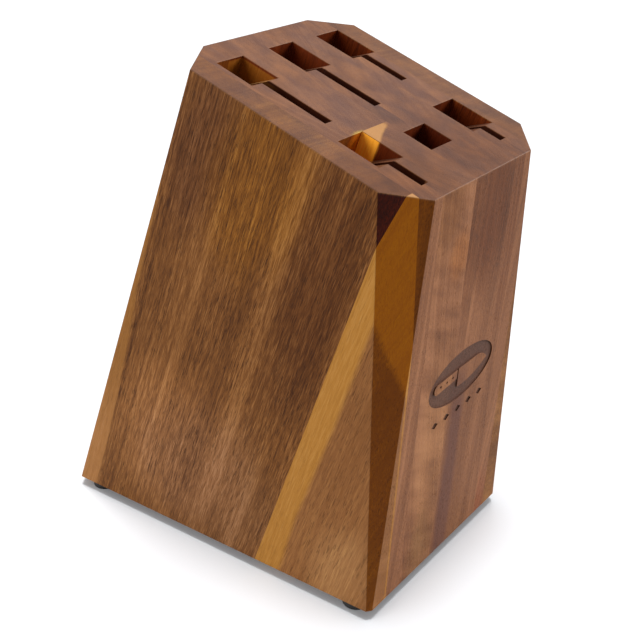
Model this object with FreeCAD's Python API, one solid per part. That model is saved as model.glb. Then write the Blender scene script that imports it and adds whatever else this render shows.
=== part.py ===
import FreeCAD, Part
import math
import os

# Leaning slotted block for six kitchen tools, glued up from upright acacia boards, on four feet.
# Millimetres.  +Z is up, the engraved front looks along -Y, +X is on the right seen from the front.
# The origin is on the table, under the middle of the bounding box.
# Slots are laid out on the sloping top: x across, s up the slope from its front edge,
# and depth straight down the grain, square to the top.

V = FreeCAD.Vector

# ---- outer block ----
WIDTH = 112.0            # across the block
GRAIN_LEAN = 20.0        # degrees, grain and slots lean back from upright by this much
FRONT_HEIGHT = 182.1     # wood only, bottom to the front edge of the top
FRONT_OVERHANG = 12.1    # top front edge ahead of the bottom front edge
TOP_LENGTH = 119.9       # front edge to rear edge, up the slope
BASE_DEPTH = 177.0       # bottom front edge to bottom rear edge
EDGE_RADIUS = 0.5        # sanded outer edges
FOOT_HEIGHT = 4.5        # wood stands this far off the table

# ---- four long corners, cut wide at the top and narrow at the bottom ----
FRONT_CUT_X = 17.3       # on the top, across
FRONT_CUT_S = 14.8       # on the top, up the slope
FRONT_CUT_BOTTOM = 1.8   # on the bottom, along the side
REAR_CUT_X = 20.9
REAR_CUT_S = 12.1
REAR_CUT_BOTTOM = 3.0

# ---- slots ----
COLUMN_X = {"left": -32.7, "middle": 1.0, "right": 34.0}
SLIT_WIDTH = 4.7
POCKET_WIDTH = 16.6
RAMP_ANGLE = 36.5        # pocket floor below the top face, degrees
EASE = 0.15              # eased edge round every opening
# name: column, slit front end, pocket front, pocket rear, slit depth down the grain
SLOTS = {
    "rear_left": ("left", 55.4, 87.8, 107.4, 208.0),
    "rear_middle": ("middle", 55.0, 86.2, 107.8, 208.0),
    "rear_right": ("right", 63.6, 85.7, 107.4, 208.0),
    "front_left": ("left", 8.8, 24.3, 44.6, 185.0),
    "front_right": ("right", 11.6, 21.6, 43.0, 150.0),
}
WELL_X = (-7.3, 8.8)     # plain rectangular well, front row, middle
WELL_S = (22.1, 36.2)
WELL_DEPTH = 150.0

# ---- glue planes ----
LEFT_PANEL_X = -43.6
LEFT_CORE_X = COLUMN_X["left"]
MIDDLE_SLOT_X = COLUMN_X["middle"] - POCKET_WIDTH / 2
RIGHT_CORE_X = COLUMN_X["middle"]
RIGHT_SLOT_X = COLUMN_X["right"] - POCKET_WIDTH / 2
RIGHT_INNER_X = COLUMN_X["right"]
RIGHT_PANEL_X = COLUMN_X["right"] + POCKET_WIDTH / 2
LEFT_PANEL_STAVE_S = 7.4
LEFT_CORE_STAVE_S = 44.6

# ---- engraved ornament on the front face ----
ENGRAVE_DEPTH = 0.5
OVAL_CENTRE = (1.5, 92.0)    # across, and up the front face
OVAL_HALF = (27.0, 11.8)
LOZENGE_ROW = 74.8
LOZENGE_COUNT = 5
LOZENGE_PITCH = 9.5
LOZENGE_HALF = (2.6, 1.6)

# ---- feet and their screws ----
FOOT_DIAMETER = 13.0
FOOT_SIDE_INSET = 8.25
FOOT_END_INSET = 12.0
FOOT_ROUND = 0.7
SCREW_RECESS_DIAMETER = 7.0
SCREW_RECESS_DEPTH = 2.4
SCREW_HEAD_DIAMETER = 6.0
SCREW_HEAD_HEIGHT = 1.7
SCREW_SHANK_DIAMETER = 3.0
SCREW_LENGTH = 14.0
SCREW_POINT = 2.5
HOLE_CLEARANCE = 0.1

BIG = 400.0
os.makedirs("parts", exist_ok=True)

LEAN = math.radians(GRAIN_LEAN)
HALF = WIDTH / 2
FRONT_Y = (FRONT_OVERHANG - BASE_DEPTH) / 2   # bottom front edge
REAR_Y = FRONT_Y + BASE_DEPTH
TOP_FRONT = V(0, FRONT_Y - FRONT_OVERHANG, FOOT_HEIGHT + FRONT_HEIGHT)
UP_SLOPE = V(0, math.cos(LEAN), math.sin(LEAN))
TOP_REAR = TOP_FRONT + UP_SLOPE * TOP_LENGTH


def save(name, shape):
    """One STEP file for each piece, or for each set of identical pieces."""
    shape.exportStep(os.path.join("parts", name + ".step"))


def at(x, point):
    return V(x, point.y, point.z)


def into_grain_frame(shape):
    """Turn a shape drawn as x, s, height above the top into its place in the block."""
    turn = FreeCAD.Rotation(V(1, 0, 0), GRAIN_LEAN)
    moved = shape.copy()
    moved.Placement = FreeCAD.Placement(TOP_FRONT, turn)
    return moved


def span_box(x0, x1, y0, y1, z0, z1):
    return Part.makeBox(x1 - x0, y1 - y0, z1 - z0, V(x0, y0, z0))


# ---- the block before it is slotted ----

def corner_cut(side, end_s, cut_x, cut_s, bottom_y):
    """Everything outside the flat that takes off one long corner."""
    inward = 1 if end_s == 0 else -1
    on_side = at(side * HALF, TOP_FRONT + UP_SLOPE * (end_s + inward * cut_s))
    on_end = at(side * (HALF - cut_x), TOP_FRONT + UP_SLOPE * end_s)
    at_bottom = V(side * HALF, bottom_y, FOOT_HEIGHT)
    corner = at(side * HALF, TOP_FRONT + UP_SLOPE * end_s)
    flat = Part.Face(Part.Plane(on_side, on_end, at_bottom))
    return flat.makeHalfSpace(corner)


def outer_block():
    bottom_front = V(-HALF, FRONT_Y, FOOT_HEIGHT)
    bottom_rear = V(-HALF, REAR_Y, FOOT_HEIGHT)
    profile = [bottom_front, bottom_rear, at(-HALF, TOP_REAR), at(-HALF, TOP_FRONT), bottom_front]
    block = Part.Face(Part.makePolygon(profile)).extrude(V(WIDTH, 0, 0))
    for side in (-1, 1):
        front_bottom = FRONT_Y + FRONT_CUT_BOTTOM
        rear_bottom = REAR_Y - REAR_CUT_BOTTOM
        block = block.cut(corner_cut(side, 0, FRONT_CUT_X, FRONT_CUT_S, front_bottom))
        block = block.cut(corner_cut(side, TOP_LENGTH, REAR_CUT_X, REAR_CUT_S, rear_bottom))
    return block.makeFillet(EDGE_RADIUS, block.Edges)


# ---- tools that open the slots ----

def rect_wire(x0, x1, s0, s1, height):
    corners = [V(x0, s0, height), V(x1, s0, height), V(x1, s1, height), V(x0, s1, height)]
    return Part.makePolygon(corners + corners[:1])


def mouth(x0, x1, s0, s1, ramp_side=False):
    lift = 0.05
    grow = EASE + lift
    lower_s0 = s0
    if ramp_side:
        lower_s0 = s0 + EASE / math.tan(math.radians(RAMP_ANGLE))
    lower = rect_wire(x0, x1, lower_s0, s1, -EASE)
    upper = rect_wire(x0 - grow, x1 + grow, s0 - grow, s1 + grow, lift)
    return Part.makeLoft([lower, upper], True, True)


def pocket(x0, x1, s_front, s_rear):
    """Wide pocket for the handle end, with a floor that ramps down to its rear wall."""
    drop = (s_rear - s_front) * math.tan(math.radians(RAMP_ANGLE))
    outline = [V(x0, s_front, 2), V(x0, s_front, 0), V(x0, s_rear, -drop), V(x0, s_rear, 2)]
    face = Part.Face(Part.makePolygon(outline + outline[:1]))
    return face.extrude(V(x1 - x0, 0, 0))


def slot_tool(column, slit_front, pocket_front, pocket_rear, depth):
    x = COLUMN_X[column]
    slit_x = (x - SLIT_WIDTH / 2, x + SLIT_WIDTH / 2)
    pocket_x = (x - POCKET_WIDTH / 2, x + POCKET_WIDTH / 2)
    tool = span_box(*slit_x, slit_front, pocket_rear, -depth, 2)
    tool = tool.fuse(pocket(*pocket_x, pocket_front, pocket_rear))
    tool = tool.fuse(mouth(*slit_x, slit_front, pocket_rear))
    return tool.fuse(mouth(*pocket_x, pocket_front, pocket_rear, True))


def well_tool():
    tool = span_box(*WELL_X, *WELL_S, -WELL_DEPTH, 2)
    return tool.fuse(mouth(*WELL_X, *WELL_S))


# ---- ornament: a plain knife left standing in an oval, with a row of lozenges under it ----

def knife_silhouette(cx, cy):
    def p(u, v):
        return V(cx + u, cy + v, 0)

    spine = Part.LineSegment(p(-3, 3.6), p(12, 3.6))
    tip = Part.Arc(p(12, 3.6), p(18.2, 2.3), p(22, -0.6))
    edge = Part.Arc(p(22, -0.6), p(12, -4.2), p(-3, -5.2))
    heel = Part.LineSegment(p(-3, -5.2), p(-3, 3.6))
    blade = Part.Face(Part.Wire([c.toShape() for c in (spine, tip, edge, heel)]))
    top = Part.LineSegment(p(-4, 3.5), p(-20.5, 3.1))
    butt = Part.Arc(p(-20.5, 3.1), p(-22.6, 0.7), p(-20.5, -1.6))
    under = Part.LineSegment(p(-20.5, -1.6), p(-4, -0.9))
    collar = Part.LineSegment(p(-4, -0.9), p(-4, 3.5))
    handle = Part.Face(Part.Wire([c.toShape() for c in (top, butt, under, collar)]))
    for u in (-7.5, -12.5, -17.5):
        rivet = Part.makeCylinder(0.6, 2, V(cx + u, cy + 1.1, -1))
        handle = handle.cut(rivet)
    return [blade, handle]


def ornament_tool():
    cx, cy = OVAL_CENTRE
    oval = Part.Ellipse(V(cx, cy, 0), *OVAL_HALF).toShape()
    field = Part.Face(Part.Wire([oval]))
    for figure in knife_silhouette(cx, cy):
        field = field.cut(figure)
    marks = [field]
    half_u, half_v = LOZENGE_HALF
    for i in range(LOZENGE_COUNT):
        u = cx + (i - (LOZENGE_COUNT - 1) / 2) * LOZENGE_PITCH
        v = LOZENGE_ROW
        corners = [V(u - half_u, v, 0), V(u, v - half_v, 0), V(u + half_u, v, 0), V(u, v + half_v, 0)]
        marks.append(Part.Face(Part.makePolygon(corners + corners[:1])))
    height = ENGRAVE_DEPTH + 1.0
    tool = Part.makeCompound([m.extrude(V(0, 0, height)) for m in marks])
    face_turn = 90 + math.degrees(math.atan2(FRONT_OVERHANG, FRONT_HEIGHT))
    tool.translate(V(0, 0, -ENGRAVE_DEPTH))
    turn = FreeCAD.Rotation(V(1, 0, 0), face_turn)
    tool.Placement = FreeCAD.Placement(V(0, FRONT_Y, FOOT_HEIGHT), turn).multiply(tool.Placement)
    return tool


# ---- feet and screws ----

def turned(points):
    """Solid of revolution about Z from a closed outline of radius and height."""
    outline = [V(r, 0, z) for r, z in points]
    return Part.Face(Part.makePolygon(outline + outline[:1])).revolve(V(0, 0, 0), V(0, 0, 1), 360)


def rubber_foot():
    r = FOOT_DIAMETER / 2
    hole = SCREW_SHANK_DIAMETER / 2 + HOLE_CLEARANCE / 2
    recess = SCREW_RECESS_DIAMETER / 2
    foot = turned([
        (hole, FOOT_HEIGHT), (r, FOOT_HEIGHT), (r - 0.3, 0), (recess, 0),
        (recess, SCREW_RECESS_DEPTH), (hole, SCREW_RECESS_DEPTH),
    ])
    rim = [e for e in foot.Edges if e.BoundBox.ZMax < 0.01 and e.BoundBox.XLength > FOOT_DIAMETER - 1]
    return foot.makeFillet(FOOT_ROUND, rim)


def foot_screw():
    head = SCREW_HEAD_DIAMETER / 2
    shank = SCREW_SHANK_DIAMETER / 2
    under_head = SCREW_RECESS_DEPTH
    face = under_head - SCREW_HEAD_HEIGHT
    end = under_head + SCREW_LENGTH
    screw = turned([
        (0, face), (head * 0.55, face), (head * 0.9, face + 0.5), (head, face + 1.0),
        (head, under_head), (shank, under_head), (shank, end - SCREW_POINT), (0, end),
    ])
    for angle in (0, 90):
        wing = Part.makeBox(3.2, 0.7, 1.4, V(-1.6, -0.35, face - 0.4))
        wing.rotate(V(0, 0, 0), V(0, 0, 1), angle)
        screw = screw.cut(wing)
    return screw


FOOT_PLACES = {
    "front_left": V(-HALF + FOOT_SIDE_INSET, FRONT_Y + FOOT_END_INSET, 0),
    "front_right": V(HALF - FOOT_SIDE_INSET, FRONT_Y + FOOT_END_INSET, 0),
    "rear_left": V(-HALF + FOOT_SIDE_INSET, REAR_Y - FOOT_END_INSET, 0),
    "rear_right": V(HALF - FOOT_SIDE_INSET, REAR_Y - FOOT_END_INSET, 0),
}


def screw_hole(place):
    radius = (SCREW_SHANK_DIAMETER + HOLE_CLEARANCE) / 2
    top = SCREW_RECESS_DEPTH + SCREW_LENGTH + 0.5
    return Part.makeCylinder(radius, top, place)


# ---- make the slotted, engraved block, then part it along its glue planes ----

block = outer_block()
for slot in SLOTS.values():
    block = block.cut(into_grain_frame(slot_tool(*slot)))
block = block.cut(into_grain_frame(well_tool()))
block = block.cut(ornament_tool())
for place in FOOT_PLACES.values():
    block = block.cut(screw_hole(place))


def board(x0, x1, s0=-BIG, s1=BIG):
    """The part of the block between two glue planes, and between two stave joints."""
    piece = block.common(into_grain_frame(span_box(x0, x1, s0, s1, -BIG, BIG)))
    return piece.Solids[0] if len(piece.Solids) == 1 else piece


BOARDS = {
    "left_side_panel_front_stave": (-BIG, LEFT_PANEL_X, -BIG, LEFT_PANEL_STAVE_S),
    "left_side_panel_rear_stave": (-BIG, LEFT_PANEL_X, LEFT_PANEL_STAVE_S, BIG),
    "left_slot_board": (LEFT_PANEL_X, LEFT_CORE_X),
    "left_core_front_stave": (LEFT_CORE_X, MIDDLE_SLOT_X, -BIG, LEFT_CORE_STAVE_S),
    "left_core_rear_stave": (LEFT_CORE_X, MIDDLE_SLOT_X, LEFT_CORE_STAVE_S, BIG),
    "middle_slot_board": (MIDDLE_SLOT_X, RIGHT_CORE_X),
    "right_core_board": (RIGHT_CORE_X, RIGHT_SLOT_X),
    "right_slot_board": (RIGHT_SLOT_X, RIGHT_INNER_X),
    "right_inner_board": (RIGHT_INNER_X, RIGHT_PANEL_X),
    "right_side_panel": (RIGHT_PANEL_X, BIG),
}

for name, limits in BOARDS.items():
    save(name, board(*limits))

for corner, place in FOOT_PLACES.items():
    foot = rubber_foot()
    foot.translate(place)
    save("foot_" + corner, foot)

screws = []
for place in FOOT_PLACES.values():
    screw = foot_screw()
    screw.translate(place)
    screws.append(screw)
save("foot_screws", Part.makeCompound(screws))
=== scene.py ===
import math
from dataclasses import dataclass
from typing import Callable

import bpy
from mathutils import Matrix, Vector


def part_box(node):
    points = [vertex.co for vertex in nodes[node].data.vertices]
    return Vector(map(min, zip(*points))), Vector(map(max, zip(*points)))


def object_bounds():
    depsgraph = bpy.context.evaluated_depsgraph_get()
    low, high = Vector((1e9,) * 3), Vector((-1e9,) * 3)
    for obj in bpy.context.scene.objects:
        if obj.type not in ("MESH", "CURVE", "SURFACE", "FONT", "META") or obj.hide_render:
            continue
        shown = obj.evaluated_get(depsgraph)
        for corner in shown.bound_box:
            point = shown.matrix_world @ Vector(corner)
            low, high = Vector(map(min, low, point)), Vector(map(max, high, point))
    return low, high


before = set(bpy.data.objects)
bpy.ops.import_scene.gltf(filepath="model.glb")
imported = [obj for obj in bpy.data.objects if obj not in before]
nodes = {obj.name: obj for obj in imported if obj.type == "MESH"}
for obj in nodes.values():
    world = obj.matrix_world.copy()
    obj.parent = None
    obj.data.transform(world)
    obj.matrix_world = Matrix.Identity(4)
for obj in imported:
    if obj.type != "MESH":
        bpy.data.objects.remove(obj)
cad_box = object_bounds()

# ------------------------------------------------------------------ the block's own directions
# The boards' grain leans back from upright.  Wood is described in grain coordinates, in mm:
# x across the block, s up the sloping top from its front edge, h along the grain above the top.

MM = 1000.0                                # millimetres in a metre
GRAIN_LEAN = math.radians(20.0)
GRAIN = (0, -math.sin(GRAIN_LEAN), math.cos(GRAIN_LEAN))
UP_SLOPE = (0, math.cos(GRAIN_LEAN), math.sin(GRAIN_LEAN))
FRONT_HEIGHT = 0.1821                      # wood bottom to the front edge of the top
FRONT_OVERHANG = 0.0121                    # how far the front face leans forward over that height
EDGE_LOSS = 0.00003                        # what rounding takes off the foremost edge
FOOT_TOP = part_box("foot_front_left")[1].z
TOP_FRONT = (0, cad_box[0][1] - EDGE_LOSS, FOOT_TOP + FRONT_HEIGHT)
FRONT_FOOT = (0, TOP_FRONT[1] + FRONT_OVERHANG, FOOT_TOP)
FRONT_LEAN = math.atan2(FRONT_OVERHANG, FRONT_HEIGHT)
INTO_FRONT = (0, math.cos(FRONT_LEAN), math.sin(FRONT_LEAN))
FRONT_CORNER_FACING = (0.626, -0.779)      # across and forward, for the cut-off front corners
HALF_WIDTH = 56.0                          # mm, and so are the rest
SLIT_COLUMNS = (-32.7, 1.0, 34.0)
SLIT_HALF_WIDTH = 2.4
SLOTS_HALF_WIDTH = 44.0                    # all slots lie this near to the block's middle
SLOTS_MIDDLE = 60.0                        # their middle up the slope
SLOTS_HALF_LENGTH = 50.5                   # and how far they reach from it
POCKET_REAR = 44.6                         # rear wall of the front left pocket
ORNAMENT_MIDDLE = (1.5, 88.0)              # across, and above the bottom of the wood
ORNAMENT_REACH = (31.0, 24.0)


# ------------------------------------------------------------------ short ways to write shader nodes

class Shade:
    """A material being written: every method adds nodes and returns their output."""

    def __init__(self, name):
        self.mat = bpy.data.materials.new(name)
        self.mat.use_nodes = True
        self.tree = self.mat.node_tree
        self.tree.nodes.clear()
        out = self.add("ShaderNodeOutputMaterial")
        self.surface = self.add("ShaderNodeBsdfPrincipled")
        self.tree.links.new(self.surface.outputs[0], out.inputs["Surface"])

    def add(self, kind, **settings):
        node = self.tree.nodes.new(kind)
        for key, value in settings.items():
            setattr(node, key, value)
        return node

    def put(self, socket, value):
        if isinstance(value, bpy.types.NodeSocket):
            self.tree.links.new(value, socket)
        elif isinstance(value, (tuple, list)) and len(value) == 3 and len(socket.default_value) == 4:
            socket.default_value = (*value, 1.0)
        else:
            socket.default_value = value

    def give(self, **inputs):
        """Sets inputs of the surface: base_color, roughness, normal."""
        for name, value in inputs.items():
            self.put(self.surface.inputs[name.replace("_", " ").title()], value)

    def math(self, op, *values):
        node = self.add("ShaderNodeMath", operation=op)
        for socket, value in zip(node.inputs, values):
            self.put(socket, value)
        return node.outputs[0]

    def plus(self, total, *others):
        for other in others:
            total = self.math("ADD", total, other)
        return total

    def times(self, product, *others):
        for other in others:
            product = self.math("MULTIPLY", product, other)
        return product

    def minus(self, value, other):
        return self.math("SUBTRACT", value, other)

    def size(self, value):
        return self.math("ABSOLUTE", value)

    def away(self, value, middle):
        return self.size(self.minus(value, middle))

    def vec(self, op, a, b=(0, 0, 0)):
        node = self.add("ShaderNodeVectorMath", operation=op)
        self.put(node.inputs[0], a)
        self.put(node.inputs[1], b)
        return node.outputs["Value" if op in ("DOT_PRODUCT", "LENGTH") else "Vector"]

    def dot(self, vector, direction):
        return self.vec("DOT_PRODUCT", vector, direction)

    def join(self, x, y, z):
        node = self.add("ShaderNodeCombineXYZ")
        for socket, value in zip(node.inputs, (x, y, z)):
            self.put(socket, value)
        return node.outputs[0]

    def step(self, value, low, high, to_low=0.0, to_high=1.0):
        """Smooth change from to_low to to_high as value goes from low to high."""
        node = self.add("ShaderNodeMapRange", interpolation_type="SMOOTHSTEP", clamp=True)
        for socket, number in zip(node.inputs, (value, low, high, to_low, to_high)):
            self.put(socket, number)
        return node.outputs[0]

    def line(self, value, low, high, to_low, to_high):
        """Straight change from to_low to to_high as value goes from low to high."""
        node = self.add("ShaderNodeMapRange", clamp=True)
        for socket, number in zip(node.inputs, (value, low, high, to_low, to_high)):
            self.put(socket, number)
        return node.outputs[0]

    def noise(self, vector, detail, rough, seed):
        """Soft noise from 0 to 1."""
        node = self.add("ShaderNodeTexNoise", noise_dimensions="4D")
        self.put(node.inputs["Vector"], vector)
        node.inputs["W"].default_value = seed
        node.inputs["Scale"].default_value = 1.0
        node.inputs["Detail"].default_value = detail
        node.inputs["Roughness"].default_value = rough
        return node.outputs["Fac"]

    def sway(self, vector, detail, rough, seed):
        """Soft noise around 0."""
        return self.minus(self.noise(vector, detail, rough, seed), 0.5)

    def mix(self, factor, a, b, mode="MIX"):
        node = self.add("ShaderNodeMix", data_type="RGBA", blend_type=mode)
        self.put(node.inputs[0], factor)
        self.put(node.inputs[6], a)
        self.put(node.inputs[7], b)
        return node.outputs[2]

    def tint(self, colour, by):
        return self.mix(1.0, colour, by, "MULTIPLY")

    def ramp(self, factor, stops):
        node = self.add("ShaderNodeValToRGB")
        elements = node.color_ramp.elements
        while len(elements) < len(stops):
            elements.new(0.5)
        for element, (place, colour) in zip(elements, stops):
            element.position = place
            element.color = (*colour, 1.0)
        self.put(node.inputs[0], factor)
        return node.outputs[0]

    def bump(self, height, strength, distance):
        node = self.add("ShaderNodeBump")
        node.inputs["Strength"].default_value = strength
        node.inputs["Distance"].default_value = distance
        self.put(node.inputs["Height"], height)
        return node.outputs[0]


def rgb(*screen):
    """A colour given as 0 to 255 screen values, in linear light."""
    shares = [value / 255 for value in screen]
    return tuple(v / 12.92 if v < 0.04045 else ((v + 0.055) / 1.055) ** 2.4 for v in shares)


# ------------------------------------------------------------------ where a point of the wood is

class Place:
    """A point of the wood as shader values: where it is, in mm, and how its surface faces."""

    def __init__(self, m):
        self.m = m
        coordinates = m.add("ShaderNodeTexCoord")
        point = coordinates.outputs["Object"]
        self.normal = coordinates.outputs["Normal"]
        from_top = m.vec("SUBTRACT", point, TOP_FRONT)
        self.x = m.times(m.dot(from_top, (1, 0, 0)), MM)
        self.s = m.times(m.dot(from_top, UP_SLOPE), MM)
        self.h = m.times(m.dot(from_top, GRAIN), MM)
        self.point = m.join(self.x, self.s, self.h)
        from_foot = m.vec("SUBTRACT", point, FRONT_FOOT)
        self.depth = m.times(m.dot(from_foot, INTO_FRONT), MM)
        self.rise = m.times(m.dot(from_foot, (0, 0, 1)), MM)
        self.end_on = m.size(m.dot(self.normal, GRAIN))         # 1 where the grain meets the surface end on

    def scaled(self, across, along):
        return self.m.vec("MULTIPLY", self.point, (across, across, along))


# ------------------------------------------------------------------ golden sapwood
# Each function tells how golden the wood is at a point: 0 heartwood, 1 sapwood.

def rear_strip(m, at, wobble):
    """Along the rear edge of the left side panel, tapering off towards the top."""
    edge = m.plus(m.line(at.h, -190, -55, 103.0, 108.7), m.line(at.h, -55, -10, 0.0, 15.0))
    edge = m.plus(edge, m.times(m.plus(at.x, HALF_WIDTH), 0.9))
    inside = m.minus(m.plus(at.s, m.times(wobble, 5.0)), edge)
    return m.step(inside, -1.0, 1.0)


def front_wedge(m, at, wobble):
    """On the narrow front stave of the left side panel, and faintly along its joint with the next board."""
    edge = m.minus(m.step(at.h, -150, -195, -3.6, -6.0), m.times(m.plus(at.x, HALF_WIDTH), 1.75))
    inside = m.minus(m.plus(at.s, m.times(wobble, 4.0)), edge)
    at_joint = m.times(m.step(at.x, -45.2, -44.6, 0.0, 0.55), m.step(at.s, -14, -22))
    return m.math("MAXIMUM", m.step(inside, -1.6, 1.8), at_joint)


def pocket_wedge(m, at, wobble):
    """On the top beside the front left pocket, ending on the joint between the two core staves."""
    reach = m.times(m.minus(-4.9, at.x), 0.457)
    inside = m.minus(reach, m.minus(POCKET_REAR, m.plus(at.s, m.times(wobble, 4.0))))
    near_top = m.step(at.h, -75, -40)
    return m.times(m.step(inside, -0.6, 0.9), near_top, m.step(at.x, -7.5, -11.5))


def inner_strip(m, at, wobble):
    """Down the rear of the left core, so that the rear left pocket has one golden wall."""
    edge = m.line(at.h, -230, -30, -29.0, -19.0)
    inside = m.minus(edge, m.plus(at.x, m.times(wobble, 6.0)))
    return m.times(m.step(inside, -1.5, 2.0), m.step(at.s, 80, 88), m.step(at.h, -0.6, -1.5, 0.0, 0.8))


# ------------------------------------------------------------------ how each board looks

DARK = rgb(72, 38, 12)
BROWN = rgb(117, 72, 32)
TAWNY = rgb(128, 82, 44)
LIGHT = rgb(158, 108, 60)
HEARTWOOD = (DARK, BROWN, LIGHT)
TAWNY_WOOD = (BROWN, TAWNY, LIGHT)
ROSY_WOOD = (rgb(80, 46, 28), rgb(126, 81, 52), rgb(158, 108, 74))
SAPWOOD = (rgb(134, 84, 24), rgb(168, 115, 48), rgb(194, 144, 80))
SAPWOOD_END = rgb(172, 126, 80)
PORE = rgb(48, 25, 12)
PURPLE = rgb(84, 52, 46)
SLIT_SHADE = rgb(30, 11, 4)
BURNT = (rgb(58, 36, 28), rgb(92, 62, 50))
# pale dust and painted highlight for the top edges
EDGE_DUST_AND_HIGHLIGHT = rgb(205, 165, 130)
THROUGH = 90                                # reach of a patch that goes right through its board


@dataclass
class Patch:
    """A soft patch of another tone: mostly the wood's own, while the pale bluish ones low on the left side
    panel are painted sheen.
    """
    centre: tuple                           # (x, s, h), mm
    reach: tuple                            # along the same three directions, mm
    tint: tuple


@dataclass
class Board:
    """How one board looks."""
    pith: tuple                             # centre of its growth rings (x, s), mm
    colours: tuple                          # of late, middle and early wood
    band: float                             # width of its broad growth bands, mm
    streak: float                           # how strongly its fibres show
    sap: Callable = None                    # where it is golden
    ripple: float = 0.0                     # how strongly its figure ripples across the grain
    purple: bool = False                    # whether the purple streak runs through it
    corner_shade_tint: tuple = (0.8, 0.52, 0.0)   # painted shade on the cut-off front corners
    slot_shade_tint: tuple = (0.6, 0.24, 0.09)    # painted shade inside the slots
    gold_slot_shading: tuple = (0.8, 0.62, 0.3)     # painted shade on golden wood inside the slots, and painted light where it is above 1
    patches: tuple = ()


BOARDS = {
    "left_side_panel_front_stave": Board(
        pith=(-90, -320), colours=TAWNY_WOOD, band=11, streak=0.8, sap=front_wedge,
        # painted sheen: this patch makes the left side lighter and bluer low down
        patches=(Patch((-56, -31, -172), (THROUGH, 16, 32), (1.35, 1.55, 1.8)),)),
    "left_side_panel_rear_stave": Board(
        pith=(-95, -290), colours=HEARTWOOD, band=9, streak=1.1, sap=rear_strip, corner_shade_tint=(0.3, 0.07, 0.0),
        patches=(Patch((-56, 24, -50), (THROUGH, 22, 85), (0.56, 0.48, 0.42)),
                 Patch((-56, 64, -30), (THROUGH, 28, 50), (1.22, 1.2, 0.66)),
                 Patch((-56, 94, -28), (THROUGH, 22, 48), (0.7, 0.66, 0.78)),
                 # painted sheen: these two patches make the left side lighter and bluer low down
                 Patch((-56, 66, -172), (THROUGH, 46, 52), (1.5, 1.6, 1.9)),
                 Patch((-56, 45, -180), (THROUGH, 50, 50), (0.98, 1.06, 1.45)))),
    "left_slot_board": Board(
        pith=(-240, 40), colours=ROSY_WOOD, band=8, streak=0.6, slot_shade_tint=(0.85, 0.55, 0.14)),
    "left_core_front_stave": Board(
        pith=(240, 80), colours=ROSY_WOOD, band=12, streak=0.5, sap=pocket_wedge, ripple=1.0,
        # painted light on its golden wood inside the front left pocket
        gold_slot_shading=(3.0, 2.8, 1.2),
        patches=(Patch((-14, 0, -29), (10, THROUGH, 12), (1.2, 1.1, 0.8)),
                 Patch((-26, 0, -8), (14, THROUGH, 28), (0.76, 0.7, 0.55)),
                 Patch((-18, 0, -168), (16, THROUGH, 26), (0.78, 0.82, 0.7)),
                 Patch((-15, 0, -115), (22, THROUGH, 55), (1.2, 1.26, 1.18)))),
    "left_core_rear_stave": Board(
        pith=(-260, 150), colours=ROSY_WOOD, band=9, streak=0.6, sap=inner_strip,
        patches=(Patch((-27, POCKET_REAR, -14), (6, 2, 22), (4.4, 7.0, 1.8)),)),
    "middle_slot_board": Board(
        pith=(300, -90), colours=ROSY_WOOD, band=9, streak=0.5, ripple=0.4, purple=True,
        patches=(Patch((-4, -5, -14), (20, THROUGH, 46), (0.72, 0.62, 0.52)),
                 Patch((-3, 48, 0), (9, 10, 14), (0.5, 0.54, 0.66)))),
    "right_core_board": Board(
        pith=(300, -100), colours=ROSY_WOOD, band=10, streak=0.6, purple=True,
        patches=(Patch((12, -5, -14), (20, THROUGH, 50), (0.58, 0.46, 0.36)),
                 Patch((16, -10, -190), (14, THROUGH, 40), (0.82, 0.82, 0.74)))),
    "right_slot_board": Board(
        pith=(280, -40), colours=ROSY_WOOD, band=8, streak=0.6,
        patches=(Patch((30, -5, -14), (20, THROUGH, 60), (0.78, 0.7, 0.64)),)),
    "right_inner_board": Board(
        pith=(-200, 160), colours=ROSY_WOOD, band=7, streak=0.6,
        patches=(Patch((40, -10, -185), (20, THROUGH, 40), (1.1, 0.82, 0.72)),)),
    "right_side_panel": Board(
        pith=(90, 380), colours=HEARTWOOD, band=10, streak=1.0, corner_shade_tint=(0.74, 0.6, 0.4)),
}


# ------------------------------------------------------------------ wood

class Figure:
    """What shapes one board's figure, as shader values: its rings, waves, fibres and pores."""

    def __init__(self, m, at, board, seed):
        self.seed = seed
        wander_x = m.sway(at.scaled(1 / 60, 1 / 240), 1.0, 0.5, seed)
        wander_s = m.sway(at.scaled(1 / 50, 1 / 220), 1.0, 0.5, seed + 9)
        self.wave = m.sway(at.scaled(1 / 18, 1 / 80), 2.0, 0.5, seed + 3)
        from_pith_x = m.plus(at.x, -board.pith[0], m.times(wander_x, 12.0))
        from_pith_s = m.plus(at.s, -board.pith[1], m.times(wander_s, 12.0))
        radius = m.vec("LENGTH", m.join(from_pith_x, from_pith_s, 0.0))
        self.ring = m.plus(radius, m.times(self.wave, 3.5))
        along_rings = m.join(m.times(self.ring, 1 / 1.5), 0.0, m.times(at.h, 1 / 300))
        self.fine = m.sway(along_rings, 2.0, 0.6, seed + 6)
        self.fibre = m.sway(at.scaled(2.4, 1 / 6.5), 2.0, 0.65, seed + 1)
        self.speck = m.sway(at.scaled(1.1, 1 / 4), 2.0, 0.6, seed + 12)
        pores = m.step(m.noise(at.scaled(2.4, 1 / 5), 2.0, 0.6, seed + 7), 0.53, 0.66)
        crowd = m.step(m.noise(at.scaled(1 / 9, 1 / 60), 1.0, 0.5, seed + 8), 0.35, 0.6)
        self.pores = m.times(pores, m.line(crowd, 0, 1, 0.35, 1.0))


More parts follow.
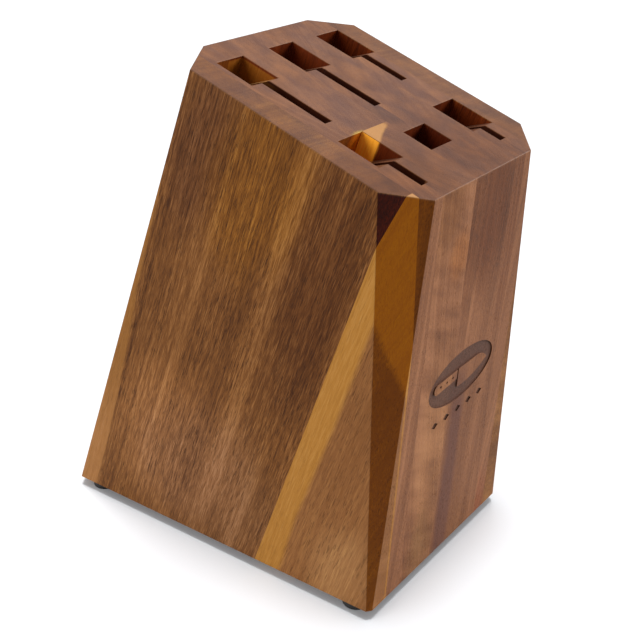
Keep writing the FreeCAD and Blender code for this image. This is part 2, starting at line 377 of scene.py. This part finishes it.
def heartwood(m, at, figure, board):
    """Colour of the growth bands and fibres."""
    bands = m.noise(m.join(m.times(figure.ring, 1 / board.band), 0.0, m.times(at.h, 1 / 900)),
                    2.0, 0.55, figure.seed + 5)
    blotch = m.sway(at.scaled(1 / 26, 1 / 110), 2.0, 0.5, figure.seed + 2)
    tone = m.plus(m.line(bands, 0.25, 0.75, 0.28, 0.72), m.times(blotch, 0.6))
    tone = m.plus(tone, m.times(figure.fine, 0.8), m.times(figure.fibre, 1.5 * board.streak))
    if board.ripple:
        climb = m.plus(m.times(at.h, 1 / 6.5), m.times(at.x, 1 / 14))
        across = m.join(m.times(at.x, 1 / 30), m.times(at.s, 1 / 30), climb)
        ripple = m.sway(across, 1.0, 0.5, figure.seed + 11)
        tone = m.plus(tone, m.times(ripple, 0.9 * board.ripple))
    return m.ramp(tone, list(zip((0.0, 0.5, 1.0), board.colours)))


def with_patches(m, at, figure, board, colour):
    for patch in board.patches:
        away = m.vec("DIVIDE", m.vec("SUBTRACT", at.point, patch.centre), patch.reach)
        away = m.plus(m.vec("LENGTH", away), m.times(figure.wave, 0.8), m.times(figure.fibre, 0.5))
        colour = m.mix(m.step(away, 1.15, 0.4), colour, m.tint(colour, patch.tint))
    return colour


def with_purple_streak(m, at, figure, colour):
    """The streak runs down the lower half of the block, either side of the middle slits' glue line."""
    across = m.away(m.plus(at.x, m.times(figure.wave, 5.0)), SLIT_COLUMNS[1])
    streak = m.times(m.step(across, 8.5, 3.0), m.step(at.h, -70, -105))
    return m.mix(m.times(streak, 0.7), colour, PURPLE)


def sapwood(m, at, figure, board):
    """Golden colour."""
    tone = m.plus(0.5, m.times(figure.fine, 0.6), m.times(figure.fibre, 0.7))
    gold = m.ramp(tone, list(zip((0.0, 0.5, 1.0), SAPWOOD)))
    if board.sap is rear_strip:
        # painted sheen: the golden strip is lighter and bluer low down and darker higher up
        gold = m.tint(gold, m.mix(m.step(at.h, -140, -205), (0.7, 0.65, 0.78), (0.92, 0.92, 1.6)))
    return gold


def end_grain(m, at, figure, colour, golden):
    """Colour where the grain ends on the surface: greyer, cloudy, with faint rings and specks. The grey is
    partly the end grain's own colour and partly painted sheen.
    """
    cloud = m.noise(m.join(m.times(at.x, 1 / 12), m.times(at.s, 1 / 20), figure.seed), 3.0, 0.6, 4.0)
    mottle = m.noise(m.join(m.times(at.x, 1 / 8), m.times(at.s, 1 / 11), figure.seed), 2.0, 0.5, 8.0)
    arcs = m.noise(m.join(m.times(figure.ring, 1 / 2.6), 0.0, figure.seed), 2.0, 0.6, figure.seed + 15)
    greyish = m.mix(m.step(cloud, 0.3, 0.7), rgb(98, 73, 65), rgb(126, 86, 62))
    grey = m.mix(m.line(golden, 0, 1, 0.5, 0.1), m.tint(colour, (0.72, 0.74, 0.78)), greyish)
    grey = m.mix(m.step(arcs, 0.35, 0.65, 0.3, 0.0), grey, rgb(84, 54, 42))
    grey = m.mix(m.times(m.step(figure.speck, 0.02, 0.25), 0.6), grey, rgb(88, 62, 52))
    grey = m.tint(grey, m.mix(m.step(mottle, 0.35, 0.65), (0.87, 0.88, 0.96), (1.12, 1.1, 1.06)))
    # painted sheen: lighter and bluer towards the rear of the top
    grey = m.tint(grey, m.mix(m.step(at.s, 8, 58), (0.98, 0.9, 0.8), (1.2, 1.26, 1.34)))
    return m.mix(m.times(golden, 0.85), grey, SAPWOOD_END)


def on_cut_corner(m, at):
    """1 on the flats that take off the front corners, 0 elsewhere."""
    across, forward = FRONT_CORNER_FACING
    return m.plus(*(m.step(m.dot(at.normal, (side * across, forward, 0)), 0.975, 0.99) for side in (-1, 1)))


def in_ornament(m, at):
    """1 in the ornament sunk into the front face, 0 elsewhere."""
    sunk = m.times(m.step(at.depth, 0.05, 0.3), m.step(at.depth, 3.0, 1.5))
    beside = m.step(m.away(at.x, ORNAMENT_MIDDLE[0]), ORNAMENT_REACH[0], ORNAMENT_REACH[0] - 1)
    above = m.step(m.away(at.rise, ORNAMENT_MIDDLE[1]), ORNAMENT_REACH[1], ORNAMENT_REACH[1] - 2)
    return m.times(sunk, beside, above)


def in_slots(m, at):
    """1 on the inner walls of slots, pockets and well, less on the pockets' sloping floors, 0 elsewhere."""
    behind_front = m.step(at.depth, 5.5, 7.0)
    beside = m.step(m.size(at.x), SLOTS_HALF_WIDTH + 2, SLOTS_HALF_WIDTH)
    along = m.step(m.away(at.s, SLOTS_MIDDLE), SLOTS_HALF_LENGTH, SLOTS_HALF_LENGTH - 1)
    below_top = m.step(at.h, -0.12, -0.5)
    return m.times(behind_front, beside, along, below_top, m.step(at.end_on, 0.82, 0.7, 0.3, 1.0))


def in_slits(m, at):
    """1 between the side walls of the narrow slits, 0 on the walls that face up or down the slope."""
    near = 0.0
    for column in SLIT_COLUMNS:
        near = m.plus(near, m.step(m.away(at.x, column), SLIT_HALF_WIDTH + 0.1, SLIT_HALF_WIDTH))
    facing_along = m.size(m.dot(at.normal, UP_SLOPE))
    return m.times(near, m.step(facing_along, 0.9, 0.5))


def on_top_edge(m, at):
    """1 on the rounded edges around the top, 0 elsewhere."""
    slanting = m.times(m.step(at.end_on, 0.12, 0.3), m.step(at.end_on, 0.985, 0.9))
    return m.times(slanting, m.step(at.h, -0.8, -0.45))


def wood(name, board):
    m = Shade("wood_" + name)
    at = Place(m)
    figure = Figure(m, at, board, seed=sum(ord(letter) for letter in name) * 0.37)
    pores = figure.pores

    colour = with_patches(m, at, figure, board, heartwood(m, at, figure, board))
    if board.purple:
        colour = with_purple_streak(m, at, figure, colour)
    golden = 0.0
    if board.sap:
        golden = board.sap(m, at, m.plus(figure.wave, m.times(figure.fibre, 0.25)))
        colour = m.mix(golden, colour, sapwood(m, at, figure, board))
        pores = m.times(pores, m.line(golden, 0, 1, 1.0, 0.35))
    colour = m.mix(m.times(pores, 0.6 * board.streak), colour, PORE)

    end = m.step(at.end_on, 0.55, 0.92)
    colour = m.mix(end, colour, end_grain(m, at, figure, colour, golden))
    # painted shade: the cut-off corners lack the sheen of the faces beside them, so they are painted deeper
    # and redder
    colour = m.mix(on_cut_corner(m, at), colour, m.tint(colour, board.corner_shade_tint))

    # painted shade: inside the slots the wood is painted darker and redder, and the narrow slits darker
    # still; one golden pocket wall gets painted light instead
    inner = in_slots(m, at)
    slot_shaded = m.mix(golden, m.tint(colour, board.slot_shade_tint), m.tint(colour, board.gold_slot_shading))
    colour = m.mix(inner, colour, slot_shaded)
    colour = m.mix(m.times(in_slits(m, at), inner, 0.8), colour, SLIT_SHADE)

    char = m.mix(m.step(m.noise(at.scaled(2.0, 2.0), 3.0, 0.6, figure.seed + 14), 0.3, 0.7), *BURNT)
    colour = m.mix(m.times(in_ornament(m, at), 0.9), colour, char)
    # sanded edges catch a little dust, and get a faint painted highlight
    colour = m.mix(m.times(on_top_edge(m, at), 0.05), colour, EDGE_DUST_AND_HIGHLIGHT)

    rough = m.plus(0.46, m.times(figure.fibre, 0.25), m.times(end, 0.06), m.times(pores, 0.2))
    relief = m.minus(m.times(figure.fibre, 0.5), m.times(pores, 0.6))
    relief = m.plus(relief, m.times(figure.speck, end, 0.4))
    m.give(base_color=colour, roughness=rough, normal=m.bump(relief, 0.35, 0.0004))
    m.surface.inputs["Specular IOR Level"].default_value = 0.1
    return m.mat


# ------------------------------------------------------------------ rubber and steel

def rubber():
    m = Shade("foot_rubber")
    point = m.add("ShaderNodeTexCoord").outputs["Object"]
    fine = m.noise(m.vec("MULTIPLY", point, (2600, 2600, 2600)), 3.0, 0.6, 2.0)
    dust = m.noise(m.vec("MULTIPLY", point, (160, 160, 160)), 4.0, 0.6, 5.0)
    m.give(base_color=m.ramp(dust, [(0.35, (0.010, 0.010, 0.011)), (0.75, (0.035, 0.034, 0.033))]),
           roughness=m.line(fine, 0.3, 0.7, 0.5, 0.75),
           normal=m.bump(fine, 0.3, 0.0001))
    return m.mat


def steel():
    m = Shade("screw_steel")
    point = m.add("ShaderNodeTexCoord").outputs["Object"]
    brushed = m.noise(m.vec("MULTIPLY", point, (900, 9000, 9000)), 3.0, 0.6, 1.0)
    stain = m.noise(m.vec("MULTIPLY", point, (500, 500, 500)), 3.0, 0.5, 7.0)
    m.give(base_color=m.ramp(stain, [(0.35, (0.42, 0.41, 0.38)), (0.7, (0.62, 0.62, 0.6))]),
           roughness=m.line(brushed, 0.2, 0.8, 0.22, 0.48),
           normal=m.bump(brushed, 0.15, 0.00005))
    m.surface.inputs["Metallic"].default_value = 1.0
    return m.mat


def finish_node(name, material):
    mesh = nodes[name].data
    mesh.materials.clear()
    mesh.materials.append(material)


for board_name, board_look in BOARDS.items():
    finish_node(board_name, wood(board_name, board_look))
foot_rubber = rubber()
for foot in ("front_left", "front_right", "rear_left", "rear_right"):
    finish_node("foot_" + foot, foot_rubber)
finish_node("foot_screws", steel())


# ------------------------------------------------------------------ floor

FLOOR_HALF = 12.0                          # metres
FLOOR_SEEN = (0.87, 0.89, 0.92)
FLOOR_BOUNCE = (0.6, 0.6, 0.6)             # what the floor throws back onto the block


def floor():
    corners = [(-FLOOR_HALF, -FLOOR_HALF, 0), (FLOOR_HALF, -FLOOR_HALF, 0),
               (FLOOR_HALF, FLOOR_HALF, 0), (-FLOOR_HALF, FLOOR_HALF, 0)]
    mesh = bpy.data.meshes.new("floor")
    mesh.from_pydata(corners, [], [(0, 1, 2, 3)])
    plane = bpy.data.objects.new("floor", mesh)
    bpy.context.scene.collection.objects.link(plane)
    m = Shade("pale_floor")
    seen = m.add("ShaderNodeLightPath").outputs["Is Camera Ray"]
    m.give(base_color=m.mix(seen, FLOOR_BOUNCE, FLOOR_SEEN), roughness=0.9)
    m.surface.inputs["Specular IOR Level"].default_value = 0.1
    mesh.materials.append(m.mat)
    return plane


# ------------------------------------------------------------------ light

SURROUND_LIGHT = 0.3
SURROUND_SEEN = 1.0                        # behind the floor's far edge


def receivers(name, plane, state):
    """What a light falls on: only the floor ("INCLUDE") or everything else ("EXCLUDE")."""
    group = bpy.data.collections.new(name)
    group.objects.link(plane)
    group.collection_objects[0].light_linking.link_state = state
    return group


def soft_sun(name, towards, strength, spread, falls_on, shadows=True):
    """A very large soft light, far away in the given direction, spread over so many degrees."""
    light = bpy.data.lights.new(name, "SUN")
    light.energy = strength * math.pi
    light.angle = math.radians(spread)
    light.use_shadow = shadows
    lamp = bpy.data.objects.new(name, light)
    lamp.rotation_mode = "QUATERNION"
    lamp.rotation_quaternion = Vector(towards).to_track_quat("Z", "Y")
    lamp.light_linking.receiver_collection = falls_on
    bpy.context.scene.collection.objects.link(lamp)


def surround():
    """White all round, weaker as a light than as it is seen."""
    world = bpy.data.worlds.new("studio")
    bpy.context.scene.world = world
    world.use_nodes = True
    tree = world.node_tree
    background = tree.nodes["Background"]
    background.inputs["Color"].default_value = (1.0, 1.0, 1.0, 1.0)
    rays = tree.nodes.new("ShaderNodeLightPath")
    strength = tree.nodes.new("ShaderNodeMapRange")
    strength.inputs["To Min"].default_value = SURROUND_LIGHT
    strength.inputs["To Max"].default_value = SURROUND_SEEN
    tree.links.new(rays.outputs["Is Camera Ray"], strength.inputs["Value"])
    tree.links.new(strength.outputs["Result"], background.inputs["Strength"])


ground = floor()
on_block = receivers("all_but_floor", ground, "EXCLUDE")
on_floor = receivers("floor_only", ground, "INCLUDE")
soft_sun("left_light", (-0.72, 0.48, 0.50), strength=0.74, spread=40, falls_on=on_block)
soft_sun("right_light", (0.75, -0.42, 0.51), strength=1.76, spread=40, falls_on=on_block)
soft_sun("overhead", (0.0, -0.04, 1.0), strength=0.72, spread=16, falls_on=on_floor)
soft_sun("floor_fill", (0.0, 0.0, 1.0), strength=0.3, spread=60, falls_on=on_floor, shadows=False)
surround()


# ------------------------------------------------------------------ camera

CAMERA_AZIMUTH = math.radians(-54.21)      # from the front, towards the block's left
CAMERA_ELEVATION = math.radians(23.59)
CAMERA_ROLL = math.radians(0.39)
CAMERA_TARGET = Vector((0, 0.00055, 0.1175))
CAMERA_DISTANCE = 0.51554
CAMERA_OFFSET = (0.012904, -0.000736)      # across and up, in the picture's own directions
SENSOR_WIDTH = 36.0                        # mm
FOCAL_LENGTH = 63.42                       # mm
VERTICAL_SHIFT = -0.0625


def camera():
    level = math.cos(CAMERA_ELEVATION)
    back = Vector((math.sin(CAMERA_AZIMUTH) * level,
                   -math.cos(CAMERA_AZIMUTH) * level,
                   math.sin(CAMERA_ELEVATION)))
    right = Vector((0, 0, 1)).cross(back).normalized()
    above = back.cross(right)
    x_axis = math.cos(CAMERA_ROLL) * right + math.sin(CAMERA_ROLL) * above
    y_axis = math.cos(CAMERA_ROLL) * above - math.sin(CAMERA_ROLL) * right
    across, up = CAMERA_OFFSET
    place = CAMERA_TARGET + back * CAMERA_DISTANCE + x_axis * across + y_axis * up
    data = bpy.data.cameras.new("camera")
    data.sensor_width = SENSOR_WIDTH
    data.lens = FOCAL_LENGTH
    data.shift_y = VERTICAL_SHIFT
    data.clip_start = 0.01
    cam = bpy.data.objects.new("camera", data)
    cam.matrix_world = Matrix.Translation(place) @ Matrix((x_axis, y_axis, back)).transposed().to_4x4()
    bpy.context.scene.collection.objects.link(cam)
    bpy.context.scene.camera = cam


camera()
bpy.context.scene.view_settings.view_transform = "Standard"
